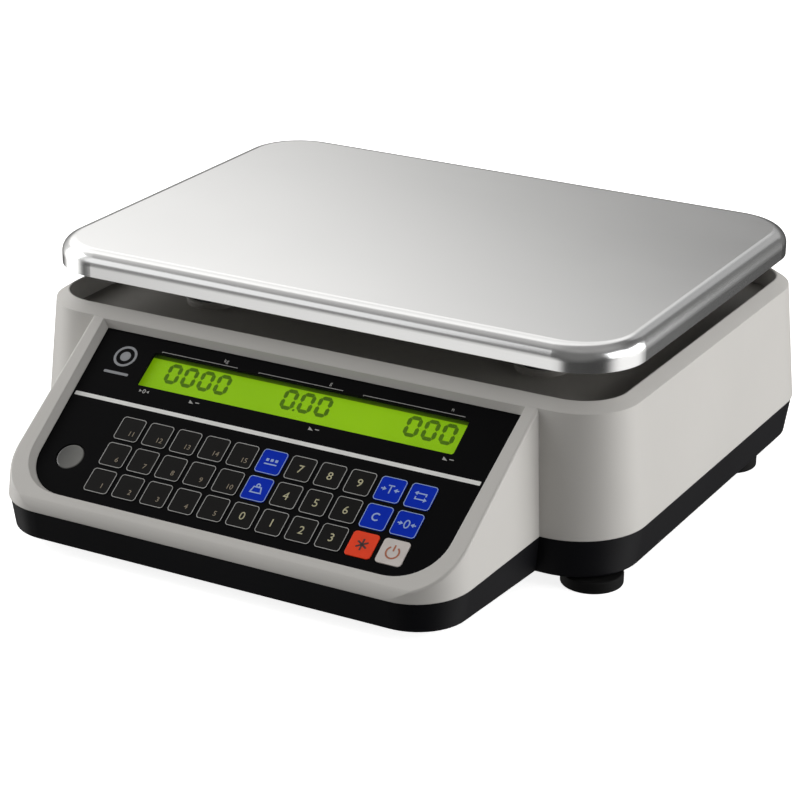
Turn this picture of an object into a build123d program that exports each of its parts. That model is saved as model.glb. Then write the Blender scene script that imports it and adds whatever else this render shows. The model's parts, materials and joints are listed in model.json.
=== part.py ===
"""Counting scale: platter, sprung weighing platform, housing, keypad and display.

Frame: +X to the right of the operator, +Y away from the operator, +Z up, in millimetres.
The origin is on the table, under the middle of the scale's outline.
"""

from build123d import *

import os
from math import atan2, cos, degrees, radians, sin, tan

os.makedirs("parts", exist_ok=True)

# ---------------------------------------------------------------- driving dimensions
wall = 2.6                      # moulded wall thickness
shell_draft = 5.34              # degrees, walls of the housing lean in going up
base_draft = 8.8                # degrees, walls of the base lean in going down
base_bottom_z = 8.0             # underside of the base, above the table
parting_z = 29.3                # joint between base and housing on the main body

body_width = 353.6              # main body, at the parting line
body_depth = 269.2
body_center_y = 45.9
body_corner_r = 38.0
body_front_y = body_center_y - body_depth / 2

console_front_y = -180.5        # front edge of the sloped console
console_front_width = 260.8
console_back_width = 274.6
console_corner_r = 30.0
console_parting_drop = 5.3      # the parting line falls this much from body to front edge
console_front_r = 9.0           # soft roll between the slope and the front wall

panel_tilt = 33.72              # degrees from horizontal
panel_center_y = -125.9
panel_center_z = 59.8
panel_length = 104.0            # along the slope
panel_top_width = 243.8
panel_bottom_width = 236.0
panel_corner_r = 24.0
panel_top_corner_r = 2.0
recess_depth = 4.4              # panel face below the console surface
recess_draft = 28.0
overlay_thickness = 1.6

ring_width = 7.6                # sloped lip round the platter well
well_depth = 12.4               # lip's inner edge down to the deck
deck_thickness = 2.5

platter_width = 340.0
platter_depth = 250.0
platter_corner_r = 35.0
platter_edge_r = 8.0
platter_bottom_z = 113.4
platter_top_z = 127.0
platter_sheet = 1.2

key_pitch_x = 16.9
key_pitch_v = 16.55
key_columns = 11
key_rows = 3
key_size = 14.3
key_corner_r = 2.0
key_first_x = -76.2             # middle of the first key in the top row
key_first_v = -5.75
key_travel = 0.5
key_proud = 0.35
key_clearance = 0.2

window_x = 5.25                 # middle of the display window on the panel
window_v = 32.2
window_width = 185.5
window_height = 21.4
window_drop = 0.2               # window's top face below the panel's face
window_flange = 1.2             # thickness of the window's rim behind the panel
glass_drop = 3.0                # display glass below the panel's face
glass_thickness = 2.2
backlight_thickness = 3.0
board_thickness = 1.6           # every circuit board

vial_x = -100.7
vial_v = -28.8
vial_r = 7.7

foot_r = 16.0
foot_height = 6.5
foot_x = 155.5
foot_front_y = -65.5
foot_back_y = 110.5
foot_stud_r = 5.0
foot_stud_top_z = 24.0
foot_fit = 0.08
foot_boss_r = 10.0
foot_boss_top_z = 20.0
board_bottom_z = 15.0
foot_edge_r = 1.0

screw_r = 1.9
screw_hole_r = 2.0
screw_boss_r = 4.5
screw_head_r = 3.6
screw_head_height = 2.0
screw_socket_r = 1.4
case_screw_length = 18.0
chassis_screw_length = 6.0
cut_through = 40.0              # depth of a cut that goes right through a thin part

cell_length = 130.0             # single-point load cell
cell_width = 30.0
cell_height = 22.0
cell_bottom_z = 22.5
cell_hole_x = (42.0, 58.0)      # bolt places from the middle, on each end
cell_pad_length = 30.0
chassis_width = 224.0
chassis_depth = 128.0
bolt_r = 3.0
bolt_clearance = 0.3
bolt_head_r = 5.0
bolt_head_height = 4.0
bolt_grip = 11.0                # length of bolt inside the load cell
flexure_bore_r = 8.2
flexure_spacing = 32.0
flexure_slot = 9.0

arm_post_x = 100.0              # platter support posts, from the middle of the main body
arm_post_y = 60.0
arm_post_r = 9.0
arm_width = 24.0
arm_thickness = 6.0
stud_r = 10.0
stud_height = 6.0
deck_hole_r = 12.0
overload_gap = 0.45

battery_size = (101.0, 47.0, 70.0)
battery_x = -75.0
battery_y = 143.5
battery_gap = 1.0
bay_width = 110.0
bay_depth = 55.0

inlet_x = 105.0
inlet_z = 50.0
inlet_cavity_width = 24.5
inlet_cavity_height = 16.5
inlet_cavity_depth = 16.0
inlet_face_y = 179.1
inlet_flange = 2.2
inlet_flange_half_width = 16.0
inlet_flange_half_height = 13.0
inlet_body_half_width = 13.8
inlet_body_half_height = 10.0

# ---------------------------------------------------------------- derived places
tan_shell = tan(radians(shell_draft))
tan_base = tan(radians(base_draft))
sin_tilt = sin(radians(panel_tilt))
cos_tilt = cos(radians(panel_tilt))
tan_tilt = tan(radians(panel_tilt))

panel_plane = Plane(
    origin=(0, panel_center_y, panel_center_z),
    x_dir=(1, 0, 0),
    z_dir=(0, -sin_tilt, cos_tilt),
)
slope_plane = panel_plane.offset(recess_depth)

# The lip's front slope lies in the console's slope plane.
lip_outer_z = 94.1
lip_draft_in = (lip_outer_z - parting_z) * tan_shell
lip_rise = ring_width * tan_tilt
lip_inner_z = lip_outer_z + lip_rise
well_width = body_width - 2 * (lip_draft_in + ring_width)
well_size_y = body_depth - 2 * (lip_draft_in + ring_width)
well_corner_r = body_corner_r - lip_draft_in - ring_width
deck_top_z = lip_inner_z - well_depth
deck_bottom_z = deck_top_z - deck_thickness

ledge_z = deck_bottom_z - 2.0
ledge_width = 4.0
skirt_wall = 2.5

inlet_flange_y = inlet_face_y - inlet_flange

base_gap = 0.4                  # the base stands this far inside the housing's lower edge
base_body_inset = base_gap + (parting_z - base_bottom_z) * tan_base
base_floor_z = base_bottom_z + 2.5
console_low_z = parting_z - console_parting_drop
floor_thickness = 2.8           # housing wall under the panel

cell_top_z = cell_bottom_z + cell_height
arm_bottom_z = cell_top_z + 6.0
arm_top_z = arm_bottom_z + arm_thickness
platter_underside_z = platter_top_z - platter_sheet
stud_bottom_z = platter_underside_z - stud_height
chassis_top_z = base_floor_z + 4.0

keypad_center_x = key_first_x + key_pitch_x * (key_columns - 1) / 2
keypad_center_v = key_first_v - key_pitch_v * (key_rows - 1) / 2
keypad_width = key_pitch_x * (key_columns - 1) + key_size + 2.9
keypad_height = key_pitch_v * (key_rows - 1) + key_size + 2.9
parting_slope = console_parting_drop / (body_front_y - console_front_y)
parting_plane = Plane(
    origin=(0, body_front_y, parting_z),
    x_dir=(1, 0, 0),
    z_dir=(0, -parting_slope, 1),
)


# ---------------------------------------------------------------- shared shapes
def drafted_block(z, height, inset, draft, mode=Mode.ADD):
    """Main-body outline, drawn in by inset, raised from z with its walls leaning in."""
    with BuildSketch(Plane.XY.offset(z)) as outline:
        with Locations((0, body_center_y)):
            RectangleRounded(
                body_width - 2 * inset,
                body_depth - 2 * inset,
                body_corner_r - inset,
            )
    extrude(outline.sketch, amount=height, taper=draft, mode=mode)


def console_outline(z, front_inset, back_inset, back_y):
    """Console outline at height z: a slight trapezoid with two round front corners.

    The insets draw in its front end, and its sides where they meet the main body.
    """
    half_front = console_front_width / 2 - front_inset
    half_at_body = console_back_width / 2 - back_inset
    front_y = console_front_y + front_inset
    spread = (half_at_body - half_front) / (body_front_y - front_y)
    half_back = half_front + spread * (back_y - front_y)
    with BuildSketch(Plane.XY.offset(z)) as outline:
        with BuildLine():
            Polyline(
                (-half_front, front_y),
                (half_front, front_y),
                (half_back, back_y),
                (-half_back, back_y),
                close=True,
            )
        make_face()
        fillet(outline.vertices().group_by(Axis.Y)[0], console_corner_r - front_inset)
    return outline.sketch


def panel_outline(inset=0.0):
    """Outline of the keypad panel, drawn in by inset, on the panel plane."""
    half_top = panel_top_width / 2 - inset
    half_bottom = panel_bottom_width / 2 - inset
    half_length = panel_length / 2 - inset
    with BuildSketch(panel_plane) as outline:
        with BuildLine():
            Polyline(
                (-half_bottom, -half_length),
                (half_bottom, -half_length),
                (half_top, half_length),
                (-half_top, half_length),
                close=True,
            )
        make_face()
        corners = outline.vertices().sort_by(Axis.Y)
        fillet(corners[:2], panel_corner_r - inset)
        fillet(corners[2:], panel_top_corner_r)
    return outline.sketch


def key_places():
    """Middle of each key on the panel, by row from the top and column from the left."""
    columns = [key_first_x + column * key_pitch_x for column in range(key_columns)]
    rows = [key_first_v - row * key_pitch_v for row in range(key_rows)]
    return [[(x, v) for x in columns] for v in rows]


def rounded_pad(plane, places, width, height, radius, depth, mode=Mode.ADD):
    """Rounded rectangles at places on a plane, raised by depth."""
    with BuildSketch(plane) as pad:
        with Locations(*places):
            RectangleRounded(width, height, radius)
    extrude(pad.sketch, amount=depth, mode=mode)


def posts(plane, places, radius, depth, mode=Mode.ADD):
    """Round posts at places on a plane, raised by depth."""
    with BuildSketch(plane) as ends:
        with Locations(*places):
            Circle(radius)
    extrude(ends.sketch, amount=depth, mode=mode)


def finish(piece, name):
    """Label a finished piece and write its file."""
    piece.part.label = name
    export_step(piece.part, f"parts/{name}.step")


def block(low, high, mode=Mode.ADD):
    """Upright box between two corners."""
    size = [b - a for a, b in zip(low, high)]
    middle = [(a + b) / 2 for a, b in zip(low, high)]
    with Locations(tuple(middle)):
        Box(*size, mode=mode)


def inlet_block(half_width, half_height, inner_y, outer_y, mode=Mode.ADD):
    """Block centred on the mains inlet, from inner_y inside the wall to outer_y."""
    block(
        (inlet_x - half_width, inner_y, inlet_z - half_height),
        (inlet_x + half_width, outer_y, inlet_z + half_height),
        mode,
    )


def well_outline(z, outset):
    """Outline of the platter well, grown by outset, at height z."""
    with BuildSketch(Plane.XY.offset(z)) as outline:
        with Locations((0, body_center_y)):
            RectangleRounded(well_width + 2 * outset, well_size_y + 2 * outset, well_corner_r + outset)
    return outline.sketch


def slope_z(y):
    """Height of the console's slope plane at y."""
    return lip_outer_z + (y - (body_front_y + lip_draft_in)) * tan_tilt


keys = key_places()
all_keys = [place for row in keys for place in row]
foot_places = [
    (-foot_x, foot_front_y),
    (foot_x, foot_front_y),
    (-foot_x, foot_back_y),
    (foot_x, foot_back_y),
]
body_screw_places = [(-160.5, -20), (160.5, -20), (-160.5, 148), (160.5, 148)]
console_screw_places = [(-112, -128), (112, -128)]
case_screw_places = body_screw_places + console_screw_places
chassis_screw_places = [
    (x, body_center_y + y) for x in (-96, 96) for y in (-56, 56)
]
all_screw_places = case_screw_places + chassis_screw_places
board_post_places = [(x, y) for x in (-78, 78) for y in (-154, -102)]
post_places = [
    (x, body_center_y + y) for x in (-arm_post_x, arm_post_x) for y in (-arm_post_y, arm_post_y)
]
stop_places = [(0.8 * x, body_center_y + 0.8 * (y - body_center_y)) for x, y in post_places]
low_bolt_places = [(-x, body_center_y) for x in cell_hole_x]
high_bolt_places = [(x, body_center_y) for x in cell_hole_x]

# ---------------------------------------------------------------- upper housing
with BuildPart() as console_block:
    extrude(console_outline(console_low_z, 0, 0, body_front_y + 16.7), amount=90, taper=shell_draft)
    split(bisect_by=slope_plane, keep=Keep.BOTTOM)
    split(bisect_by=parting_plane, keep=Keep.TOP)
    slope_face = console_block.faces().sort_by(Axis.Z)[-1]
    fillet(slope_face.edges().sort_by(Axis.Y)[:-1], 1.5)

# The soft front roll: an arc that touches the slope and the drafted front wall.
crease_y = (slope_z(0) - console_low_z + console_front_y / tan_shell) / (1 / tan_shell - tan_tilt)
crease_z = slope_z(crease_y)
turn = radians(90 - shell_draft - panel_tilt)
reach = console_front_r * tan(turn / 2)
roll_top = (crease_y + reach * cos_tilt, crease_z + reach * sin_tilt)
roll_low = (
    crease_y - reach * sin(radians(shell_draft)),
    crease_z - reach * cos(radians(shell_draft)),
)
with BuildPart() as roll_cut:
    with BuildSketch(Plane.YZ) as roll_profile:
        with BuildLine():
            TangentArc(roll_top, roll_low, tangent=(-cos_tilt, -sin_tilt))
            Polyline(
                roll_low,
                (roll_low[0] - 10, roll_low[1]),
                (roll_top[0] - 10, roll_top[1] + 10),
                roll_top,
            )
        make_face()
    extrude(roll_profile.sketch, amount=console_front_width, both=True)

with BuildPart() as console_hollow:
    extrude(
        console_outline(console_low_z - 1, wall - tan_shell, wall - tan_shell, body_front_y + 30),
        amount=ledge_z - console_low_z + 1,
        taper=shell_draft,
    )
    split(bisect_by=panel_plane.offset(-overlay_thickness - floor_thickness), keep=Keep.BOTTOM)

with BuildPart() as lip_channel:
    channel_inset = wall + (ledge_z - parting_z) * tan_shell
    drafted_block(ledge_z, 8.2, channel_inset, shell_draft)
    extrude(well_outline(ledge_z, skirt_wall), amount=10, mode=Mode.SUBTRACT)

with BuildPart() as upper_housing:
    drafted_block(parting_z, lip_outer_z - parting_z, 0, shell_draft)
    drafted_block(lip_outer_z, lip_rise, lip_draft_in, 90 - panel_tilt)
    add(console_block.part)
    add(roll_cut.part, mode=Mode.SUBTRACT)
    drafted_block(parting_z - 1, ledge_z - parting_z + 1, wall - tan_shell, shell_draft, Mode.SUBTRACT)
    add(lip_channel.part, mode=Mode.SUBTRACT)
    add(console_hollow.part, mode=Mode.SUBTRACT)
    extrude(well_outline(deck_bottom_z, 0), amount=20, mode=Mode.SUBTRACT)
    extrude(well_outline(ledge_z - 1, -ledge_width), amount=5, mode=Mode.SUBTRACT)
    lip_edges = upper_housing.edges().filter_by_position(Axis.Z, lip_inner_z - 0.01, lip_inner_z + 0.01)
    fillet(lip_edges, 0.8)
    # screw posts
    posts(Plane.XY.offset(base_floor_z + 0.2), body_screw_places, screw_boss_r, ledge_z + 0.5 - base_floor_z)
    posts(Plane.XY.offset(base_floor_z + 0.2), console_screw_places, screw_boss_r, 45)
    posts(Plane.XY.offset(base_floor_z), case_screw_places, screw_hole_r, 20, Mode.SUBTRACT)
    # panel recess with its drafted walls, and the seat of the overlay
    extrude(panel_outline(), amount=recess_depth + 6, taper=-recess_draft, mode=Mode.SUBTRACT)
    extrude(panel_outline(), amount=-overlay_thickness, mode=Mode.SUBTRACT)
    seat_plane = panel_plane.offset(-overlay_thickness)
    rounded_pad(
        seat_plane, [(keypad_center_x, keypad_center_v)], keypad_width, keypad_height, 3, -10, Mode.SUBTRACT
    )
    rounded_pad(
        seat_plane, [(window_x, window_v)], window_width + 7.4, window_height + 5, 2, -10, Mode.SUBTRACT
    )
    posts(seat_plane, [(vial_x, vial_v)], vial_r + 0.9, -10, Mode.SUBTRACT)
    # mains inlet: a flat pocket outside and a hole through the rear wall
    pocket_half_width = inlet_flange_half_width + 1
    pocket_half_height = inlet_flange_half_height + 1
    inlet_block(pocket_half_width, pocket_half_height, inlet_flange_y, inlet_flange_y + 15, Mode.SUBTRACT)
    hole_half_width = inlet_body_half_width + 0.2
    hole_half_height = inlet_body_half_height + 0.2
    inlet_block(hole_half_width, hole_half_height, inlet_flange_y - 27, inlet_flange_y + 15, Mode.SUBTRACT)

finish(upper_housing, "upper_housing")

# ---------------------------------------------------------------- lower base
with BuildPart() as lower_base:
    base_height = parting_z - base_bottom_z
    nose_inset = base_gap + (console_low_z - base_bottom_z) * tan_base
    side_inset = base_body_inset + console_parting_drop * tan_shell
    drafted_block(base_bottom_z, base_height, base_body_inset, -base_draft)
    extrude(
        console_outline(base_bottom_z, nose_inset, side_inset, body_front_y + 20),
        amount=base_height,
        taper=-base_draft,
    )
    fillet(lower_base.faces().sort_by(Axis.Z)[0].outer_wire().edges(), 1.0)
    # cut the console part of the rim down to the sloping parting line
    split(bisect_by=parting_plane.offset(-0.02), keep=Keep.BOTTOM)
    floor_inset = wall - (base_floor_z - base_bottom_z) * tan_base
    drafted_block(base_floor_z, 30, base_body_inset + floor_inset, -base_draft, Mode.SUBTRACT)
    extrude(
        console_outline(
            base_floor_z, nose_inset + floor_inset, side_inset + floor_inset, body_front_y + 20
        ),
        amount=30,
        taper=-base_draft,
        mode=Mode.SUBTRACT,
    )
    # foot bosses, board posts and the walls of the battery bay
    posts(Plane.XY.offset(base_bottom_z), foot_places, foot_boss_r, foot_boss_top_z - base_bottom_z)
    posts(Plane.XY.offset(base_bottom_z), board_post_places, 3.5, board_bottom_z - base_bottom_z)
    block(
        (battery_x - bay_width / 2 - 2, battery_y - bay_depth / 2 - 2, base_bottom_z),
        (battery_x + bay_width / 2 + 2, battery_y + bay_depth / 2 + 2, base_floor_z + 14),
    )
    block(
        (battery_x - bay_width / 2, battery_y - bay_depth / 2, base_bottom_z - 1),
        (battery_x + bay_width / 2, battery_y + bay_depth / 2, base_floor_z + 20),
        Mode.SUBTRACT,
    )
    posts(Plane.XY, foot_places, foot_stud_r + foot_fit, cut_through, Mode.SUBTRACT)
    posts(Plane.XY, all_screw_places, screw_hole_r + 0.2, cut_through, Mode.SUBTRACT)
finish(lower_base, "lower_base")

# ---------------------------------------------------------------- deck and platter
with BuildPart() as deck_plate:
    extrude(well_outline(deck_bottom_z, -0.2), amount=deck_thickness)
    posts(Plane.XY.offset(deck_bottom_z), post_places, deck_hole_r + 2.5, deck_thickness + 3)
    fillet(deck_plate.edges().filter_by(GeomType.CIRCLE).group_by(Axis.Z)[-1], 1.0)
    posts(Plane.XY.offset(deck_bottom_z - 1), post_places, deck_hole_r, 20, Mode.SUBTRACT)
finish(deck_plate, "deck_plate")

with BuildPart() as platter:
    with BuildSketch(Plane.XY.offset(platter_bottom_z)) as platter_rim:
        with Locations((0, body_center_y)):
            RectangleRounded(platter_width, platter_depth, platter_corner_r)
    extrude(platter_rim.sketch, amount=platter_top_z - platter_bottom_z)
    fillet(platter.faces().sort_by(Axis.Z)[-1].edges(), platter_edge_r)
    open_face = platter.faces().sort_by(Axis.Z)[0]
    offset(amount=-platter_sheet, openings=open_face)
finish(platter, "platter")

# ---------------------------------------------------------------- weighing mechanism
with BuildPart() as chassis_plate:
    with BuildSketch(Plane.XY.offset(base_floor_z)) as plate_outline:
        with Locations((0, body_center_y)):
            RectangleRounded(chassis_width, chassis_depth, 12)
    extrude(plate_outline.sketch, amount=chassis_top_z - base_floor_z)
    block(
        (-cell_length / 2, body_center_y - cell_width / 2, base_floor_z),
        (-cell_length / 2 + cell_pad_length, body_center_y + cell_width / 2, cell_bottom_z),
    )
    posts(Plane.XY.offset(base_floor_z), stop_places, 7.0, 9.0)
    posts(Plane.XY, low_bolt_places, bolt_r + bolt_clearance, cut_through, Mode.SUBTRACT)
    floor_plane = Plane.XY.offset(base_floor_z)
    posts(floor_plane, low_bolt_places, bolt_head_r + 0.5, bolt_head_height + 0.2, Mode.SUBTRACT)
    posts(Plane.XY, chassis_screw_places, screw_hole_r, cut_through, Mode.SUBTRACT)
    posts(Plane.XY.offset(base_floor_z + 1), stop_places, bolt_r + 0.05, cut_through, Mode.SUBTRACT)
finish(chassis_plate, "chassis_plate")

with BuildPart() as load_cell:
    block(
        (-cell_length / 2, body_center_y - cell_width / 2, cell_bottom_z),
        (cell_length / 2, body_center_y + cell_width / 2, cell_top_z),
    )
    # the two flexures: a pair of bores joined by a slot
    cell_side = Plane.XZ.offset(-body_center_y)
    with BuildSketch(cell_side) as flexure:
        with Locations((0, cell_bottom_z + cell_height / 2)):
            with Locations((-flexure_spacing / 2, 0), (flexure_spacing / 2, 0)):
                Circle(flexure_bore_r)
            Rectangle(flexure_spacing, flexure_slot)
    extrude(flexure.sketch, amount=cell_width, both=True, mode=Mode.SUBTRACT)
    posts(Plane.XY.offset(cell_bottom_z), low_bolt_places, bolt_r + 0.1, 14, Mode.SUBTRACT)
    posts(Plane.XY.offset(cell_top_z), high_bolt_places, bolt_r + 0.1, -14, Mode.SUBTRACT)
    fillet(load_cell.edges().filter_by(Axis.Z), 1.5)
finish(load_cell, "load_cell")

with BuildPart() as platter_support:
    arm_angle = degrees(atan2(arm_post_y, arm_post_x))
    arm_span = 2 * (arm_post_x**2 + arm_post_y**2) ** 0.5
    with BuildSketch(Plane.XY.offset(arm_bottom_z)) as cross:
        for angle in (arm_angle, -arm_angle):
            with Locations(Location((0, body_center_y, 0), (0, 0, angle))):
                SlotCenterToCenter(arm_span, arm_width)
        with Locations((0, body_center_y)):
            RectangleRounded(cell_length + 4, 52, 10)
    extrude(cross.sketch, amount=arm_thickness)
    block(
        (cell_length / 2 - cell_pad_length, body_center_y - cell_width / 2, cell_top_z),
        (cell_length / 2, body_center_y + cell_width / 2, arm_bottom_z),
    )
    posts(Plane.XY.offset(arm_bottom_z), post_places, arm_post_r, stud_bottom_z - arm_bottom_z)
    posts(Plane.XY, high_bolt_places, bolt_r + bolt_clearance, 100, Mode.SUBTRACT)
finish(platter_support, "platter_support")

with BuildPart() as platter_studs:
    posts(Plane.XY.offset(stud_bottom_z), post_places, stud_r, stud_height)
    fillet(platter_studs.edges().filter_by(GeomType.CIRCLE), 0.8)
finish(platter_studs, "platter_studs")

with BuildPart() as lower_cell_bolts:
    low_head_z = base_floor_z + 0.2
    posts(Plane.XY.offset(low_head_z), low_bolt_places, bolt_head_r, bolt_head_height)
    posts(Plane.XY.offset(low_head_z), low_bolt_places, bolt_r, cell_bottom_z + bolt_grip - base_floor_z)
finish(lower_cell_bolts, "lower_cell_bolts")

with BuildPart() as upper_cell_bolts:
    socket_depth = 2.5
    high_bolt_length = arm_top_z + bolt_head_height + 1 - socket_depth - cell_top_z + bolt_grip
    posts(Plane.XY.offset(arm_top_z), high_bolt_places, bolt_head_r, bolt_head_height + 1)
    posts(Plane.XY.offset(arm_top_z), high_bolt_places, 2.5, 10, Mode.SUBTRACT)
    posts(Plane.XY.offset(cell_top_z - bolt_grip), high_bolt_places, bolt_r, high_bolt_length)
finish(upper_cell_bolts, "upper_cell_bolts")

with BuildPart() as overload_stops:
    posts(
        Plane.XY.offset(base_floor_z + 1.2),
        stop_places,
        bolt_r,
        arm_bottom_z - overload_gap - base_floor_z - 1.2,
    )
    with BuildSketch(Plane.XY.offset(base_floor_z + 9.0)) as lock_nut:
        with Locations(*stop_places):
            RegularPolygon(5.5, 6)
    extrude(lock_nut.sketch, amount=4.5)
finish(overload_stops, "overload_stops")

# ---------------------------------------------------------------- keypad
keypad_place = [(keypad_center_x, keypad_center_v)]
under_floor = -overlay_thickness - floor_thickness
board_face = under_floor - 0.1
switch_height = 0.6

with BuildPart() as keypad_panel:
    extrude(panel_outline(0.15), amount=-overlay_thickness)
    hole_size = key_size + 2 * key_clearance
    rounded_pad(panel_plane, all_keys, hole_size, hole_size, key_corner_r + 0.2, -5, Mode.SUBTRACT)
    rounded_pad(
        panel_plane, [(window_x, window_v)], window_width, window_height, 1.5, -5, Mode.SUBTRACT
    )
    posts(panel_plane, [(vial_x, vial_v)], vial_r + 0.2, -5, Mode.SUBTRACT)
finish(keypad_panel, "keypad_panel")

with BuildPart() as keypad_board:
    rounded_pad(
        panel_plane.offset(board_face), keypad_place, keypad_width + 8, keypad_height + 8, 3, -board_thickness
    )
    posts(panel_plane.offset(board_face), all_keys, 3.5, switch_height)
finish(keypad_board, "keypad_board")

panel_axis = Axis((0, 0, 0), tuple(panel_plane.z_dir))
flange_top = -overlay_thickness - 0.1
flange_thickness = 0.9
stem_end = board_face + switch_height + key_travel + 0.1
for row, row_places in enumerate(keys, start=1):
    for column, place in enumerate(row_places, start=1):
        with BuildPart() as key:
            rounded_pad(
                panel_plane.offset(flange_top),
                [place],
                key_size,
                key_size,
                key_corner_r,
                key_proud - flange_top,
            )
            fillet(key.faces().sort_by(panel_axis)[-1].edges(), 0.25)
            rounded_pad(
                panel_plane.offset(flange_top),
                [place],
                key_size + 1.2,
                key_size + 1.2,
                key_corner_r + 0.6,
                -flange_thickness,
            )
            posts(panel_plane.offset(stem_end), [place], 2.5, flange_top - stem_end)
        finish(key, f"key_r{row}_c{column:02d}")

# ---------------------------------------------------------------- display
window_place = [(window_x, window_v)]
with BuildPart() as display_window:
    rounded_pad(
        panel_plane.offset(-overlay_thickness),
        window_place,
        window_width - 0.2,
        window_height - 0.2,
        1.4,
        overlay_thickness - window_drop,
    )
    rounded_pad(
        panel_plane.offset(-overlay_thickness),
        window_place,
        window_width + 7,
        window_height + 4.6,
        1.8,
        -window_flange,
    )
finish(display_window, "display_window")

glass_width = window_width + 5
glass_height = window_height + 3.6
with BuildPart() as lcd_glass:
    rounded_pad(
        panel_plane.offset(-glass_drop), window_place, glass_width, glass_height, 0.6, -glass_thickness
    )
finish(lcd_glass, "lcd_glass")

backlight_top = -glass_drop - glass_thickness - 0.1
display_board_top = backlight_top - backlight_thickness
with BuildPart() as display_board:
    rounded_pad(
        panel_plane.offset(backlight_top),
        window_place,
        glass_width,
        glass_height,
        0.6,
        -backlight_thickness,
    )
    rounded_pad(
        panel_plane.offset(display_board_top), window_place, window_width + 13, 34, 2, -board_thickness
    )
finish(display_board, "display_board")

with BuildPart() as level_vial:
    vial_place = [(vial_x, vial_v)]
    posts(panel_plane.offset(-4.2), vial_place, vial_r + 0.7, 2.5)
    posts(panel_plane.offset(-1.7), vial_place, vial_r, 1.5)
    fillet(level_vial.faces().sort_by(panel_axis)[-1].edges(), 0.9)
finish(level_vial, "level_vial")

# ---------------------------------------------------------------- electronics
with BuildPart() as main_board:
    with BuildSketch(Plane.XY.offset(board_bottom_z)) as board_outline:
        with Locations((0, -128)):
            RectangleRounded(170, 62, 3)
    extrude(board_outline.sketch, amount=board_thickness)
    board_top_z = board_bottom_z + board_thickness
    for low_x, low_y, size_x, size_y, height in (
        (-14, -136, 20, 20, 2.4),
        (20, -132, 12, 9, 1.8),
        (-50, -134, 16, 11, 2.2),
        (-70, -112, 26, 7, 7.0),
        (30, -112, 34, 7, 7.0),
    ):
        block((low_x, low_y, board_top_z), (low_x + size_x, low_y + size_y, board_top_z + height))
    posts(Plane.XY.offset(board_top_z), [(52, -128), (64, -128)], 4.0, 9)
finish(main_board, "main_board")

with BuildPart() as power_supply:
    supply_x, supply_y = 92.0, 132.0
    with BuildSketch(Plane.XY.offset(board_bottom_z)) as supply_outline:
        with Locations((supply_x, supply_y)):
            RectangleRounded(92, 42, 3)
    extrude(supply_outline.sketch, amount=board_thickness)
    posts(
        Plane.XY.offset(base_floor_z),
        [(supply_x + x, supply_y + y) for x in (-42, 42) for y in (-17, 17)],
        2.5,
        board_bottom_z - base_floor_z,
    )
    block((52, 115, board_top_z), (88, 147, board_top_z + 28))
    posts(Plane.XY.offset(board_top_z), [(102, 122), (118, 122)], 6.5, 20)
    block((98, 134, board_top_z), (126, 146, board_top_z + 12))
finish(power_supply, "power_supply")

with BuildPart() as battery:
    half_x, half_y, battery_height = battery_size[0] / 2, battery_size[1] / 2, battery_size[2]
    battery_bottom_z = base_floor_z + battery_gap
    block(
        (battery_x - half_x, battery_y - half_y, battery_bottom_z),
        (battery_x + half_x, battery_y + half_y, battery_bottom_z + battery_height - 3),
    )
    fillet(battery.edges(), 2.0)
    for tab_y in (battery_y - 12, battery_y + 11):
        block(
            (battery_x + half_x - 14, tab_y, battery_bottom_z + battery_height - 4),
            (battery_x + half_x - 8, tab_y + 1, battery_bottom_z + battery_height),
        )
finish(battery, "battery")

with BuildPart() as battery_door:
    block(
        (battery_x - bay_width / 2 + 0.3, battery_y - bay_depth / 2 + 0.3, base_bottom_z),
        (battery_x + bay_width / 2 - 0.3, battery_y + bay_depth / 2 - 0.3, base_bottom_z + 2.0),
    )
    fillet(battery_door.edges().filter_by(Axis.Z), 1.0)
    for rib in range(5):
        rib_x = battery_x - 12 + rib * 6
        block((rib_x, battery_y + 10, base_bottom_z - 0.8), (rib_x + 2, battery_y + 22, base_bottom_z))
finish(battery_door, "battery_door")

with BuildPart() as power_inlet:
    inlet_block(inlet_flange_half_width, inlet_flange_half_height, inlet_flange_y, inlet_face_y)
    fillet(power_inlet.edges().filter_by(Axis.Y), 3.0)
    inlet_block(inlet_body_half_width, inlet_body_half_height, inlet_face_y - 20.1, inlet_flange_y + 0.1)
    inlet_mouth = Plane.XZ.offset(-inlet_face_y)
    with BuildSketch(inlet_mouth) as inlet_hole:
        with Locations((inlet_x, inlet_z)):
            RectangleRounded(inlet_cavity_width, inlet_cavity_height, 3)
    extrude(inlet_hole.sketch, amount=inlet_cavity_depth, mode=Mode.SUBTRACT)
    for blade_x, blade_z in ((-7, -2), (0, 2), (7, -2)):
        block(
            (inlet_x + blade_x - 1, inlet_face_y - 19.1, inlet_z + blade_z - 2),
            (inlet_x + blade_x + 1, inlet_face_y - 2.6, inlet_z + blade_z + 2),
        )
finish(power_inlet, "power_inlet")

# ---------------------------------------------------------------- feet and screws
foot_names = ("foot_front_left", "foot_front_right", "foot_back_left", "foot_back_right")
for foot_name, foot_place in zip(foot_names, foot_places):
    with BuildPart() as foot:
        posts(Plane.XY, [foot_place], foot_r, foot_height)
        fillet(foot.edges().filter_by(GeomType.CIRCLE), foot_edge_r)
        stud_length = foot_stud_top_z - foot_height + foot_edge_r
        posts(Plane.XY.offset(foot_height - foot_edge_r), [foot_place], foot_stud_r, stud_length)
        chamfer(foot.edges().filter_by(GeomType.CIRCLE).sort_by(Axis.Z)[-1], foot_edge_r)
    finish(foot, foot_name)

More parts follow.
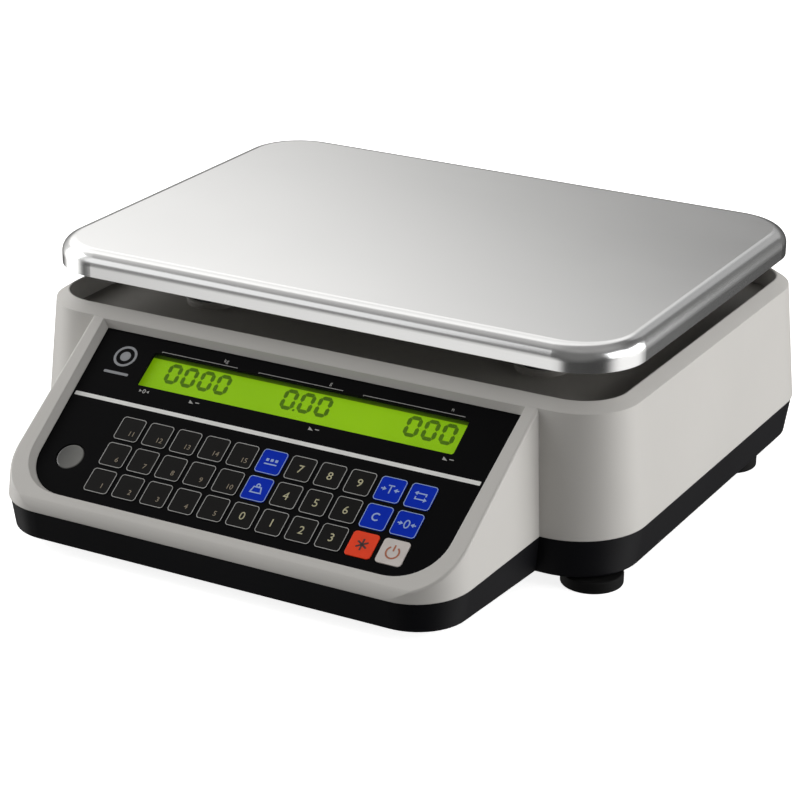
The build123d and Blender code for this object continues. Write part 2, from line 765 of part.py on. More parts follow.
with BuildPart() as case_screws:
    screw_head_z = base_bottom_z - screw_head_height
    shank_plane = Plane.XY.offset(screw_head_z + 1.5)
    posts(Plane.XY.offset(screw_head_z), all_screw_places, screw_head_r, screw_head_height)
    posts(Plane.XY.offset(screw_head_z - 1), all_screw_places, screw_socket_r, 2.2, Mode.SUBTRACT)
    posts(shank_plane, case_screw_places, screw_r, case_screw_length)
    posts(shank_plane, chassis_screw_places, screw_r, chassis_screw_length)
finish(case_screws, "case_screws")
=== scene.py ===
"""Looks of the counting scale: materials, printed keypad, display digits, camera and light."""

import json
from math import cos, pi, radians, sin

import bmesh
import bpy
from mathutils import Matrix, Vector


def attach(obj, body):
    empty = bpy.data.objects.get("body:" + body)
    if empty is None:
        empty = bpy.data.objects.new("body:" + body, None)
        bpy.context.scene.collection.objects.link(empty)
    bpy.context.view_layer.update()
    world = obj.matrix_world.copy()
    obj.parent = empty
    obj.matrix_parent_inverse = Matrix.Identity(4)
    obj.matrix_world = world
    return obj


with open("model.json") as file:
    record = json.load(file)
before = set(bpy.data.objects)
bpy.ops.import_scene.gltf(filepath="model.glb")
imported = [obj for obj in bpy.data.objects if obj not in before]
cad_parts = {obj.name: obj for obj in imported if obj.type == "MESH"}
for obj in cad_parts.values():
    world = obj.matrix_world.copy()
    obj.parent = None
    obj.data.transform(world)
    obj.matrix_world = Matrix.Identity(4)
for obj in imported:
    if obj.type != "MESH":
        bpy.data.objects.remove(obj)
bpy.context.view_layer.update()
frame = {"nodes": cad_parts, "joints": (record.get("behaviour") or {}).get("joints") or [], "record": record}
nodes = frame["nodes"]
joints = {joint["name"]: joint for joint in frame["joints"]}

MM = 0.001
ACROSS = Vector((1, 0, 0))

# The keys press along the panel's inward normal, so that axis gives the panel's tilt.
NORMAL = -Vector(joints["key_r1_c01_press"]["axis"]).normalized()
UP_SLOPE = NORMAL.cross(ACROSS).normalized()


def spread(name, axis):
    """Lowest and highest place of a node's points along an axis, in millimetres."""
    along = [vertex.co.dot(axis) / MM for vertex in nodes[name].data.vertices]
    return min(along), max(along)


PANEL_V_LOW, PANEL_V_HIGH = spread("keypad_panel", UP_SLOPE)
PANEL_V = (PANEL_V_LOW + PANEL_V_HIGH) / 2
PANEL_FACE = spread("keypad_panel", NORMAL)[1]
PANEL_HALF = spread("keypad_panel", ACROSS)[1]


def on_panel(u, v, lift=0.0):
    """Point u across and v up the slope from the panel's middle, lifted above its face (mm in, m out)."""
    return (ACROSS * u + UP_SLOPE * (PANEL_V + v) + NORMAL * (PANEL_FACE + lift)) * MM


def face_of(name):
    """Middle (u, v), width, height and top lift of a node that lies in the panel's plane."""
    u_low, u_high = spread(name, ACROSS)
    v_low, v_high = spread(name, UP_SLOPE)
    top = spread(name, NORMAL)[1]
    middle = ((u_low + u_high) / 2, (v_low + v_high) / 2 - PANEL_V)
    return middle, u_high - u_low, v_high - v_low, top - PANEL_FACE


# ------------------------------------------------------------------ shader nodes
class Finish:
    """A Principled material and short ways to add procedural detail to it."""

    def __init__(self, name, color, roughness, metallic=0.0):
        self.material = bpy.data.materials.new(name)
        self.material.use_nodes = True
        self.tree = self.material.node_tree
        self.shader = self.tree.nodes["Principled BSDF"]
        self.color = color
        self.roughness = roughness
        self.set("Base Color", (*color, 1))
        self.set("Roughness", roughness)
        self.set("Metallic", metallic)

    def set(self, socket, value):
        self.shader.inputs[socket].default_value = value

    def add(self, kind, inputs=(), **settings):
        """New shader node; inputs pairs a socket's name or number with a value or another socket."""
        made = self.tree.nodes.new(kind)
        for key, value in settings.items():
            setattr(made, key, value)
        for key, value in dict(inputs).items():
            self.feed(made.inputs[key], value)
        return made

    def feed(self, socket, value):
        """Link value when it is an output socket, set it otherwise."""
        if isinstance(value, bpy.types.NodeSocket):
            self.tree.links.new(value, socket)
        else:
            socket.default_value = value

    def place(self, scale=(1, 1, 1), turn=(0, 0, 0)):
        """Object coordinates in metres, turned and stretched."""
        coordinates = self.add("ShaderNodeTexCoord").outputs["Object"]
        mapping = self.add("ShaderNodeMapping", {"Vector": coordinates, "Scale": scale, "Rotation": turn})
        return mapping.outputs["Vector"]

    def noise(self, place, scale, detail=3.0, roughness=0.5):
        settings = {"Vector": place, "Scale": scale, "Detail": detail, "Roughness": roughness}
        return self.add("ShaderNodeTexNoise", settings).outputs["Fac"]

    def ramp(self, value, first, second, low=0.3, high=0.7):
        """Colour that goes from first to second as value goes from low to high."""
        made = self.add("ShaderNodeValToRGB", {"Fac": value})
        for element, position, color in zip(made.color_ramp.elements, (low, high), (first, second)):
            element.position = position
            element.color = (*color, 1)
        return made.outputs["Color"]

    def between(self, value, low, high):
        """Value of 0 to 1 carried to low to high."""
        made = self.add("ShaderNodeMapRange", {"Value": value, "To Min": low, "To Max": high})
        return made.outputs["Result"]

    def math(self, operation, first, second=0.0):
        return self.add("ShaderNodeMath", {0: first, 1: second}, operation=operation).outputs[0]

    def mix(self, factor, first, second):
        """Colour between first and second."""
        made = self.add("ShaderNodeMix", data_type="RGBA")
        colors = [socket for socket in made.inputs if socket.type == "RGBA"]
        self.feed(made.inputs[0], factor)
        self.feed(colors[0], first)
        self.feed(colors[1], second)
        return [socket for socket in made.outputs if socket.type == "RGBA"][0]

    def rounded_normal(self, radius):
        """Normal that turns softly over edges."""
        return self.add("ShaderNodeBevel", {"Radius": radius}, samples=4).outputs["Normal"]

    def wear(self, rounded, low, high):
        """Near 1 where the rounded normal leaves the true one, on edges, and 0 on faces."""
        true = self.add("ShaderNodeNewGeometry").outputs["Normal"]
        alike = self.add("ShaderNodeVectorMath", {0: rounded, 1: true}, operation="DOT_PRODUCT")
        apart = self.math("SUBTRACT", 1.0, alike.outputs["Value"])
        made = self.add("ShaderNodeMapRange", {"Value": apart, "From Min": low, "From Max": high})
        return made.outputs["Result"]

    def bump(self, height, strength, distance, normal=None):
        inputs = {"Height": height, "Strength": strength, "Distance": distance}
        if normal is not None:
            inputs["Normal"] = normal
        self.feed(self.shader.inputs["Normal"], self.add("ShaderNodeBump", inputs).outputs["Normal"])

    def color_from(self, value):
        self.feed(self.shader.inputs["Base Color"], value)

    def roughness_from(self, value):
        self.feed(self.shader.inputs["Roughness"], value)


def shade(color, factor):
    """Colour made darker or lighter."""
    return tuple(min(1.0, channel * factor) for channel in color)


# ------------------------------------------------------------------ finishes
# Grain is the noise's scale, and depth its height in metres.
EDGE_RADIUS = 0.0006


def moulded(name, color, roughness, grain, depth, tone=0.05, edge=None, gloss=0.5):
    """Moulded plastic: spark-eroded grain, a faint cloudy tone, finger smudges and rubbed edges."""
    finish = Finish(name, color, roughness)
    finish.set("Specular IOR Level", gloss)
    place = finish.place()
    cloud = finish.noise(place, 11.0, 4.0)
    toned = finish.ramp(cloud, shade(color, 1 - tone), shade(color, 1 + tone))
    rounded = None
    if edge:
        rounded = finish.rounded_normal(EDGE_RADIUS)
        patchy = finish.between(finish.noise(place, 60.0, 4.0), 0.1, 0.9)
        rubbed = finish.math("MULTIPLY", finish.wear(rounded, 0.02, 0.25), patchy)
        toned = finish.mix(rubbed, toned, (*edge, 1))
    finish.color_from(toned)
    smudge = finish.noise(place, 26.0, 5.0, 0.6)
    finish.roughness_from(finish.between(smudge, roughness - 0.06, roughness + 0.07))
    finish.bump(finish.noise(place, grain, 2.0), 0.4, depth, rounded)
    return finish.material


def brushed(name, color, roughness, stretch, streak=0.08, edge_radius=0.0004):
    """Satin metal: streaks along one axis, faint smudges and softened edges."""
    finish = Finish(name, color, roughness, 1.0)
    streaks = finish.noise(finish.place(stretch), 1.0, 6.0, 0.65)
    smudge = finish.noise(finish.place(), 8.0, 4.0)
    finish.color_from(finish.ramp(streaks, shade(color, 1 - streak), color))
    satin = finish.between(smudge, roughness - 0.03, roughness + 0.05)
    finish.roughness_from(finish.math("ADD", satin, finish.between(streaks, -0.02, 0.02)))
    finish.bump(streaks, 0.05, 0.00003, finish.rounded_normal(edge_radius))
    return finish.material


def printed(name, color, roughness=0.34, gloss=0.5):
    """Printed film or ink: slightly uneven ink over a fine velvet texture."""
    finish = Finish(name, color, roughness)
    finish.set("Specular IOR Level", gloss)
    place = finish.place()
    finish.color_from(finish.ramp(finish.noise(place, 90.0, 3.0), shade(color, 0.9), shade(color, 1.04)))
    smudge = finish.noise(place, 22.0, 4.0)
    finish.roughness_from(finish.between(smudge, roughness - 0.06, roughness + 0.08))
    finish.bump(finish.noise(place, 2200.0, 2.0), 0.25, 0.00002)
    return finish.material


def display_glass():
    """Back-lit yellow-green display with a faint cloudy brightness."""
    finish = Finish("display_green", (0.235, 0.475, 0.0), 0.4)
    finish.set("Specular IOR Level", 0.1)
    place = finish.place()
    glow = finish.ramp(finish.noise(place, 24.0, 2.0), (0.22, 0.455, 0.0), (0.25, 0.50, 0.0))
    finish.color_from(glow)
    finish.feed(finish.shader.inputs["Emission Color"], glow)
    finish.set("Emission Strength", 0.45)
    finish.roughness_from(finish.between(finish.noise(place, 40.0), 0.34, 0.46))
    finish.bump(finish.noise(place, 3000.0, 1.0), 0.1, 0.00001)
    return finish.material


def clear_window():
    """Clear acrylic: nearly see-through, with a faint uneven gloss."""
    finish = Finish("window_clear", (0.1, 0.12, 0.1), 0.12)
    finish.set("Specular IOR Level", 0.15)
    place = finish.place()
    dust = finish.noise(place, 140.0, 4.0)
    finish.color_from(finish.ramp(dust, (0.08, 0.1, 0.08), (0.12, 0.14, 0.12)))
    finish.roughness_from(finish.between(dust, 0.08, 0.18))
    finish.set("Alpha", 0.03)
    finish.bump(finish.noise(place, 50.0, 2.0), 0.05, 0.00002)
    return finish.material


def smoky_lens():
    """Smoky grey acrylic cover of the level vial, with painted shade at its left, painted highlight at its
    right.
    """
    finish = Finish("smoky_lens", (0.13, 0.13, 0.12), 0.25)
    place = finish.place()
    (center, _), width, _, _ = face_of("level_vial")
    # Painted shade and highlight: the colour runs from dark at the lens's left edge to light at its right,
    # as light falls on a domed lens; fine noise adds an uneven tone.
    across = finish.add("ShaderNodeSeparateXYZ", {"Vector": place}).outputs["X"]
    edges = {"From Min": (center - width / 2) * MM, "From Max": (center + width / 2) * MM}
    painted_sheen = finish.add("ShaderNodeMapRange", {"Value": across, **edges}).outputs["Result"]
    painted_sheen_and_cloud = finish.math("ADD", painted_sheen, finish.between(finish.noise(place, 160.0), -0.06, 0.06))
    finish.color_from(finish.ramp(painted_sheen_and_cloud, (0.04, 0.04, 0.037), (0.15, 0.15, 0.14), 0.1, 0.95))
    finish.roughness_from(finish.between(finish.noise(place, 60.0), 0.2, 0.32))
    finish.set("Coat Weight", 0.5)
    finish.set("Coat Roughness", 0.12)
    finish.bump(finish.noise(place, 900.0), 0.12, 0.00002)
    return finish.material


def solder_mask():
    """Green solder mask with faint copper tracks under it."""
    finish = Finish("circuit_board", (0.02, 0.15, 0.06), 0.38)
    tracks = finish.add(
        "ShaderNodeTexBrick",
        {
            "Vector": finish.place(),
            "Scale": 240.0,
            "Mortar Size": 0.04,
            "Color1": (0.014, 0.12, 0.05, 1),
            "Color2": (0.02, 0.16, 0.06, 1),
            "Mortar": (0.05, 0.26, 0.09, 1),
        },
    )
    finish.color_from(tracks.outputs["Color"])
    finish.roughness_from(finish.between(finish.noise(finish.place(), 80.0), 0.3, 0.46))
    finish.bump(tracks.outputs["Fac"], 0.3, 0.00003)
    return finish.material


FINISHES = {
    "housing_plastic": moulded(
        "housing_plastic", (0.60, 0.585, 0.56), 0.45, 1300.0, 0.00006, tone=0.02, edge=(0.68, 0.67, 0.65)
    ),
    "base_plastic": moulded(
        "base_plastic",
        (0.007, 0.007, 0.0085),
        0.42,
        1200.0,
        0.00008,
        tone=0.15,
        edge=(0.02, 0.02, 0.024),
        gloss=0.11,
    ),
    # The deck's colour is the housing plastic darkened to less than half: painted shade for the shadow that
    # the platter casts on the deck.
    "deck_plastic": moulded("deck_plastic", (0.27, 0.257, 0.238), 0.6, 1100.0, 0.00008, tone=0.06),
    "stainless": brushed("stainless", (0.782, 0.786, 0.79), 0.2, (18.0, 900.0, 900.0), streak=0.03),
    # The cast alloy's colour is a dark grey far below bare aluminium: painted shade for the platter
    # supports, which stand in the shadow under the platter.
    "cast_alloy": moulded(
        "cast_alloy", (0.16, 0.16, 0.165), 0.55, 600.0, 0.00015, tone=0.08, edge=(0.26, 0.26, 0.26)
    ),
    "stud_rubber": moulded("stud_rubber", (0.012, 0.012, 0.012), 0.8, 1500.0, 0.0001, tone=0.2, gloss=0.1),
    "cell_alloy": brushed("cell_alloy", (0.68, 0.68, 0.69), 0.36, (900.0, 20.0, 900.0)),
    "screw_steel": brushed("screw_steel", (0.6, 0.6, 0.58), 0.3, (600.0, 600.0, 80.0)),
    "panel_film": printed("panel_film", (0.0025, 0.0025, 0.003), 0.36, gloss=0.03),
    "circuit_board": solder_mask(),
    "key_black": printed("key_black", (0.004, 0.0036, 0.0034), 0.34, gloss=0.1),
    "key_blue": printed("key_blue", (0.002, 0.03, 0.52), 0.38, gloss=0.04),
    "key_red": printed("key_red", (0.95, 0.055, 0.008), 0.38, gloss=0.2),
    "key_white": printed("key_white", (0.68, 0.63, 0.60), 0.38, gloss=0.2),
    "window_clear": clear_window(),
    "lcd": display_glass(),
    "vial_plastic": smoky_lens(),
    "battery_case": moulded("battery_case", (0.05, 0.05, 0.06), 0.5, 900.0, 0.00008),
    "inlet_plastic": moulded(
        "inlet_plastic", (0.014, 0.014, 0.014), 0.38, 1000.0, 0.00006, tone=0.1, edge=(0.04, 0.04, 0.04)
    ),
    "foot_rubber": moulded("foot_rubber", (0.008, 0.008, 0.008), 0.7, 1500.0, 0.0001, tone=0.2, gloss=0.1),
}
INK_LINE = printed("ink_line", (0.42, 0.42, 0.41), 0.42)
INK_STRIP = printed("ink_strip", (0.85, 0.85, 0.83), 0.42)
INK_DIGIT = printed("ink_digit", (0.52, 0.49, 0.30), 0.42)
INK_PRESET = printed("ink_preset", (0.27, 0.22, 0.15), 0.42)
INK_PALE = printed("ink_pale", (0.32, 0.45, 0.78), 0.42)
INK_DARK = printed("ink_dark", (0.05, 0.004, 0.002), 0.42)
INK_ORANGE = printed("ink_orange", (0.42, 0.13, 0.06), 0.42)
INK_SILVER = printed("ink_silver", (0.28, 0.29, 0.31), 0.36)
INK_SEGMENT = printed("ink_segment", (0.115, 0.265, 0.0), 0.5, gloss=0.1)
INK_SHADE = printed("ink_shade", (0.12, 0.25, 0.0), 0.5, gloss=0.1)

for subpart in frame["record"]["subparts"]:
    materials = nodes[subpart["node"]].data.materials
    materials.clear()
    materials.append(FINISHES[subpart["material_slot"]])


# ------------------------------------------------------------------ printed marks
INK_THICKNESS = 0.06
# Height of a digit in the built-in font, as a share of the text size.
DIGIT_HEIGHT_OF_SIZE = 0.73


class Print:
    """Thin solid marks in the panel's plane, gathered into one piece."""

    def __init__(self, ink, lift, thickness):
        self.ink = ink
        self.lift = lift
        self.thickness = thickness
        self.mesh = bmesh.new()

    def loop(self, outline, lift):
        return [self.mesh.verts.new(on_panel(u, v, lift)) for u, v in outline]

    def join(self, first, second):
        """Band of faces between two closed loops with equal numbers of points."""
        count = len(first)
        for i in range(count):
            j = (i + 1) % count
            self.mesh.faces.new((first[i], first[j], second[j], second[i]))

    def plate(self, outline):
        """Flat plate inside a closed outline of (u, v) points."""
        low = self.loop(outline, self.lift)
        top = self.loop(outline, self.lift + self.thickness)
        self.join(low, top)
        self.mesh.faces.new(top)
        self.mesh.faces.new(low[::-1])

    def ring(self, outer, inner):
        """Flat ring between two closed outlines with equal numbers of points."""
        loops = [
            self.loop(outer, self.lift),
            self.loop(outer, self.lift + self.thickness),
            self.loop(inner, self.lift + self.thickness),
            self.loop(inner, self.lift),
        ]
        for i in range(len(loops)):
            self.join(loops[i], loops[(i + 1) % len(loops)])

    def stroke(self, points, width, closed=False):
        """Line of even width, with mitred corners, through (u, v) points."""
        count = len(points)
        sides = []
        for i in range(count):
            before = Vector(points[i - 1]) if closed or i > 0 else None
            after = Vector(points[(i + 1) % count]) if closed or i < count - 1 else None
            here = Vector(points[i])
            first = (here - before).normalized() if before else (after - here).normalized()
            second = (after - here).normalized() if after else first
            across = Vector((-first.y - second.y, first.x + second.x)).normalized()
            reach = width / 2 / max(0.4, across.dot(Vector((-first.y, first.x))))
            sides.append((here + across * reach, here - across * reach))
        left = [tuple(side[0]) for side in sides]
        right = [tuple(side[1]) for side in sides]
        if closed:
            self.ring(right, left)
        else:
            self.plate(left + right[::-1])

    def text(self, words, u, v, height):
        """Numbers or signs set in the built-in sans font."""
        letters = bpy.data.curves.new("letters", "FONT")
        letters.body = words
        letters.size = height / DIGIT_HEIGHT_OF_SIZE
        letters.align_x = "CENTER"
        letters.extrude = self.thickness / 2
        letters.resolution_u = 3
        carrier = bpy.data.objects.new("letters", letters)
        flat = bpy.data.meshes.new_from_object(carrier)
        for vertex in flat.vertices:
            x, y, z = vertex.co
            vertex.co = on_panel(u + x, v - height / 2 + y, self.lift + self.thickness / 2 + z)
        self.mesh.from_mesh(flat)
        bpy.data.objects.remove(carrier)
        bpy.data.curves.remove(letters)
        bpy.data.meshes.remove(flat)

    def finish(self, name, body, slot):
        """Turn the marks into one piece that rides on its body."""
        bmesh.ops.recalc_face_normals(self.mesh, faces=self.mesh.faces)
        data = bpy.data.meshes.new(name)
        self.mesh.to_mesh(data)
        self.mesh.free()
        data.materials.append(self.ink)
        piece = bpy.data.objects.new(name, data)
        bpy.context.scene.collection.objects.link(piece)
        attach(piece, body)


def rounded_rectangle(middle, width, height, radius, steps=6):
    """Outline of a rectangle with rounded corners."""
    outline = []
    for corner, (side_u, side_v) in enumerate(((1, 1), (-1, 1), (-1, -1), (1, -1))):
        u = middle[0] + side_u * (width / 2 - radius)
        v = middle[1] + side_v * (height / 2 - radius)
        for step in range(steps + 1):
            angle = (corner + step / steps) * pi / 2
            outline.append((u + radius * cos(angle), v + radius * sin(angle)))
    return outline


def arc(middle, radius, start, sweep, steps=24):
    """Points on an arc, angles in degrees."""
    angles = [radians(start + sweep * i / steps) for i in range(steps + 1)]
    return [(middle[0] + radius * cos(a), middle[1] + radius * sin(a)) for a in angles]


def ellipse(middle, half_width, half_height, steps):
    """Closed outline of an ellipse."""
    angles = [2 * pi * i / steps for i in range(steps)]
    return [(middle[0] + half_width * cos(a), middle[1] + half_height * sin(a)) for a in angles]


# ------------------------------------------------------------------ key legends
# Sizes of the prints are in millimetres, and places on the keypad are (row, column).
KEY_LINE_WIDTH = 0.36
# A key's node reaches this far past its visible cap, under the panel.
KEY_FLANGE = 0.6
KEY_LINE_INSET = 0.1
KEY_CORNER = 1.9
KEY_DIGIT = 4.8
SMALL_DIGIT = 3.0
SMALL_DIGIT_U, SMALL_DIGIT_V = 2.2, -2.4
SIGN_LINE = 0.7
NUMBERS = {
    (1, 1): "11", (1, 2): "12", (1, 3): "13", (1, 4): "14", (1, 5): "15",
    (2, 1): "6", (2, 2): "7", (2, 3): "8", (2, 4): "9", (2, 5): "10",
    (3, 1): "1", (3, 2): "2", (3, 3): "3", (3, 4): "4", (3, 5): "5",
    (1, 7): "7", (1, 8): "8", (1, 9): "9",
    (2, 7): "4", (2, 8): "5", (2, 9): "6",
    (3, 6): "0", (3, 7): "1", (3, 8): "2", (3, 9): "3",
}
PRESET_COLUMNS = 5
ARROW_HEAD = 1.8
ARROW_HALF_WIDTH = 0.7 * ARROW_HEAD
# How far a sign's two arrows start to each side of it.
ARROW_START = 5.0


def arrow(mark, tip, *tail):
    """Arrow with a solid head and a straight or bent tail."""
    along = (Vector(tip) - Vector(tail[0])).normalized()
    across = Vector((-along.y, along.x))
    neck = Vector(tip) - along * ARROW_HEAD
    mark.stroke([tuple(neck), *tail], SIGN_LINE)
    barb = across * ARROW_HALF_WIDTH
    mark.plate([tip, tuple(neck + barb), tuple(neck - barb)])


def arrows_inward(mark, u, v, gap):
    """Arrows from both sides that stop at a gap from the middle."""
    arrow(mark, (u - gap, v), (u - ARROW_START, v))
    arrow(mark, (u + gap, v), (u + ARROW_START, v))


def count_sign(mark, u, v):
    """Three small squares in a row over a bar: a generic sign for counted pieces."""
    pitch, side, bar = 2.6, 1.6, 3.6
    for step in (-1, 0, 1):
        mark.plate(rounded_rectangle((u + step * pitch, v + 1.0), side, side, 0.2, 2))
    mark.stroke([(u - bar, v - 1.4), (u + bar, v - 1.4)], SIGN_LINE)


def weight_sign(mark, u, v):
    """Small weight with a ring handle."""
    body = [(u - 3.0, v - 2.4), (u + 3.0, v - 2.4), (u + 2.1, v + 0.9), (u - 2.1, v + 0.9)]
    mark.stroke(body, SIGN_LINE, closed=True)
    mark.stroke(arc((u, v + 1.9), 0.9, -60, 300, 16), SIGN_LINE)


def tare_sign(mark, u, v):
    """Arrows from both sides towards a T."""
    half_bar, rise = 1.7, 2.3
    mark.stroke([(u - half_bar, v + rise), (u + half_bar, v + rise)], SIGN_LINE)
    mark.stroke([(u, v + rise), (u, v - rise)], SIGN_LINE)
    arrows_inward(mark, u, v, 2.0)


def swap_sign(mark, u, v):
    """Two arrows side by side in opposite directions."""
    for side in (1, -1):
        corner = (u + side * 2.6, v + side * 1.7)
        arrow(mark, (u - side * 4.0, v + side * 1.7), corner, (u + side * 2.6, v + side * 0.3))


def clear_sign(mark, u, v):
    """Open ring."""
    mark.stroke(arc((u, v), 2.0, 45, 270), SIGN_LINE * 1.2)


def zero_sign(mark, u, v):
    """Arrows from both sides towards a zero."""
    mark.stroke(ellipse((u, v), 1.3, 2.2, 20), SIGN_LINE, closed=True)
    arrows_inward(mark, u, v, 2.1)


def star_sign(mark, u, v):
    """Six-pointed asterisk."""
    reach = 3.3
    for angle in (radians(30), radians(90), radians(150)):
        reach_u, reach_v = reach * cos(angle), reach * sin(angle)
        mark.stroke([(u - reach_u, v - reach_v), (u + reach_u, v + reach_v)], SIGN_LINE * 1.4)


def power_sign(mark, u, v):
    """Open ring with a bar through its gap."""
    mark.stroke(arc((u, v - 0.3), 3.4, 125, 290), SIGN_LINE * 1.3)
    mark.stroke([(u, v + 0.4), (u, v + 4.0)], SIGN_LINE * 1.3)


SIGNS = {
    (1, 6): count_sign, (1, 10): tare_sign, (1, 11): swap_sign,
    (2, 6): weight_sign, (2, 10): clear_sign, (2, 11): zero_sign,
    (3, 10): star_sign, (3, 11): power_sign,
}
SIGN_INKS = {(3, 10): INK_DARK, (3, 11): INK_ORANGE}


def legend_ink(place, slot):
    """Ink of the number or sign on the key at a (row, column) place."""
    if place in SIGN_INKS:
        return SIGN_INKS[place]
    if slot == "key_blue":
        return INK_PALE
    return INK_PRESET if place[1] <= PRESET_COLUMNS else INK_DIGIT


def key_outline(key, slot):
    """Rounded line just inside the edge of a key's cap."""
    middle, width, height, top = face_of(key)
    inset = KEY_FLANGE + KEY_LINE_INSET
    inner = inset + KEY_LINE_WIDTH
    outline = Print(INK_PALE if slot == "key_blue" else INK_LINE, top, INK_THICKNESS)
    outline.ring(
        rounded_rectangle(middle, width - 2 * inset, height - 2 * inset, KEY_CORNER),
        rounded_rectangle(middle, width - 2 * inner, height - 2 * inner, KEY_CORNER - KEY_LINE_WIDTH),
    )
    outline.finish(f"{key}_outline", key, slot)


def key_legend(row, column):
    """Outline and number or sign of one key, riding on the key."""
    key = f"key_r{row}_c{column:02d}"
    slot = next(part["material_slot"] for part in frame["record"]["subparts"] if part["node"] == key)
    place = (row, column)
    if place not in SIGN_INKS:
        key_outline(key, slot)
    middle, _, _, top = face_of(key)
    mark = Print(legend_ink(place, slot), top, INK_THICKNESS)
    if place not in NUMBERS:
        SIGNS[place](mark, *middle)
    elif column <= PRESET_COLUMNS:
        mark.text(NUMBERS[place], middle[0] + SMALL_DIGIT_U, middle[1] + SMALL_DIGIT_V, SMALL_DIGIT)
    else:
        mark.text(NUMBERS[place], *middle, KEY_DIGIT)
    mark.finish(f"{key}_sign", key, slot)


for row in (1, 2, 3):
    for column in range(1, 12):
        key_legend(row, column)


# ------------------------------------------------------------------ panel and display prints
# The window's node reaches this far past its opening, under the panel.
WINDOW_RIM = 2.3


def display_opening():
    """Middle u, middle v and half height of the panel's opening for the display."""
    (u, v), _, height, _ = face_of("display_window")
    return u, v, height / 2 - WINDOW_RIM


OPENING_U, OPENING_V, OPENING_HALF = display_opening()

STRIP_WIDTH = 2.4
STRIP_END_GAP = 3.0
# The strip's place, as a share of the way from the keys to the display.
STRIP_SHARE = 0.353

SLANT = -0.03
DIGIT_TALL = 10.4
DIGIT_WIDE = 6.0
DIGIT_RISE = 1.9
DIGIT_PITCH = 10.0
SEGMENT = 2.2
SEGMENT_GAP = 0.1
# Segments of a zero from corner to corner, in digit widths and half digit heights.
ZERO = ((0, 0, 1, 0), (1, 0, 1, 1), (1, 1, 1, 2), (0, 2, 1, 2), (0, 1, 0, 2), (0, 0, 0, 1))
# Left end from the opening's middle, and number of digits.
DIGIT_GROUPS = ((-80.6, 4), (-10.5, 3), (60.8, 3))
# The decimal point stands this far before the second digit and below the line.
POINT_BACK = 2.0
POINT_DROP = 0.4
POINT_SIDE = 1.3
SHADE_BAND = 3.3
SHADE_END_GAP = 0.5

# Left and right end of each line over the display, from the opening's middle, and its unit.
BRACKETS = ((-88.5, -42.5, "kg"), (-29.5, 20.0, "g"), (32.0, 89.5, "n"))
BRACKET_LINE = 0.3
BRACKET_RISE = 1.2
BRACKET_TICK = 0.6
UNIT_FROM_END = 8.0
UNIT_RISE = 2.9
UNIT_HEIGHT = 2.3
LOW_SIGN_DROP = 3.1
LOW_ZERO_U = -86.2
WEDGES_U = (-57.0, 14.0, 90.0)

BADGE_FROM_SIDE = 19.2
BADGE_RISE = 4.5
BADGE_STEPS = 48
RING_OUTER, RING_INNER, DOT_RADIUS = 6.6, 5.2, 3.0
BAR_DROP, BAR_LENGTH, BAR_WIDTH = 11.0, 15.0, 1.6


def divider_strip():
    """Pale line between the display and the keys."""
    (_, key_v), _, key_height, _ = face_of("key_r1_c01")
    keys_edge = key_v + key_height / 2
    opening_edge = OPENING_V - OPENING_HALF
    v = keys_edge + STRIP_SHARE * (opening_edge - keys_edge)
    strip = Print(INK_STRIP, 0.0, INK_THICKNESS)
    strip.plate(rounded_rectangle((0, v), 2 * (PANEL_HALF - STRIP_END_GAP), STRIP_WIDTH, 0.3, 2))
    strip.finish("divider_strip", "case", "panel_film")


def segment(mark, start, end, level):
    """One display segment with pointed ends, slanted about a level."""
    first, last = Vector(start), Vector(end)
    along = (last - first).normalized()
    across = Vector((-along.y, along.x)) * SEGMENT / 2
    first, last = first + along * SEGMENT_GAP, last - along * SEGMENT_GAP
    shoulder = along * SEGMENT / 2
    near, far = first + shoulder, last - shoulder
    points = (first, near + across, far + across, last, far - across, near - across)
    mark.plate([(point.x + (point.y - level) * SLANT, point.y) for point in points])


def display_digits():
    """Zeros in the display's three fields, with a decimal point in the middle one."""
    digits = Print(INK_SEGMENT, face_of("lcd_glass")[3], INK_THICKNESS)
    level = OPENING_V + DIGIT_RISE
    base = level - DIGIT_TALL / 2
    for start, count in DIGIT_GROUPS:
        for place in range(count):
            left = OPENING_U + start + place * DIGIT_PITCH
            for u0, v0, u1, v1 in ZERO:
                first = (left + u0 * DIGIT_WIDE, base + v0 * DIGIT_TALL / 2)
                last = (left + u1 * DIGIT_WIDE, base + v1 * DIGIT_TALL / 2)
                segment(digits, first, last, level)
    middle_start, _ = DIGIT_GROUPS[1]
    point = (OPENING_U + middle_start + DIGIT_PITCH - POINT_BACK, base - POINT_DROP)
    digits.plate(rounded_rectangle(point, POINT_SIDE, POINT_SIDE, 0.3, 2))
    digits.finish("display_digits", "case", "lcd")


def display_shade():
    """Darker band along the top of the display, where the opening's edge shades it."""
    (u, v), width, height, top = face_of("lcd_glass")
    band = Print(INK_SHADE, top, INK_THICKNESS / 2)
    middle = (u, v + (height - SHADE_BAND) / 2)
    band.plate(rounded_rectangle(middle, width - 2 * SHADE_END_GAP, SHADE_BAND, 0.5, 2))
    band.finish("display_shade", "case", "lcd")


def bracket(mark, left, right, v, unit):
    """Line with a tick at its left end, and a unit over it."""
    mark.stroke([(left, v - BRACKET_TICK), (left, v), (right, v)], BRACKET_LINE)
    mark.text(unit, right - UNIT_FROM_END, v + UNIT_RISE, UNIT_HEIGHT)


def low_zero(mark, u, v):
    """Small zero between two pointers."""
    mark.stroke(ellipse((u, v), 0.7, 1.1, 12), 0.4, closed=True)
    for side in (-1, 1):
        tip, base = u + side * 1.4, u + side * 2.9
        mark.plate([(tip, v), (base, v + 0.8), (base, v - 0.8)])


def wedge(mark, u, v):
    """Small wedge with a dash to its right."""
    half_width, half_height = 1.4, 1.0
    corner = (u - half_width, v - half_height)
    mark.plate([(u - half_width, v + half_height), corner, (u + half_width, v - half_height)])
    mark.stroke([(u + 2.2, v), (u + 4.6, v)], 0.5)


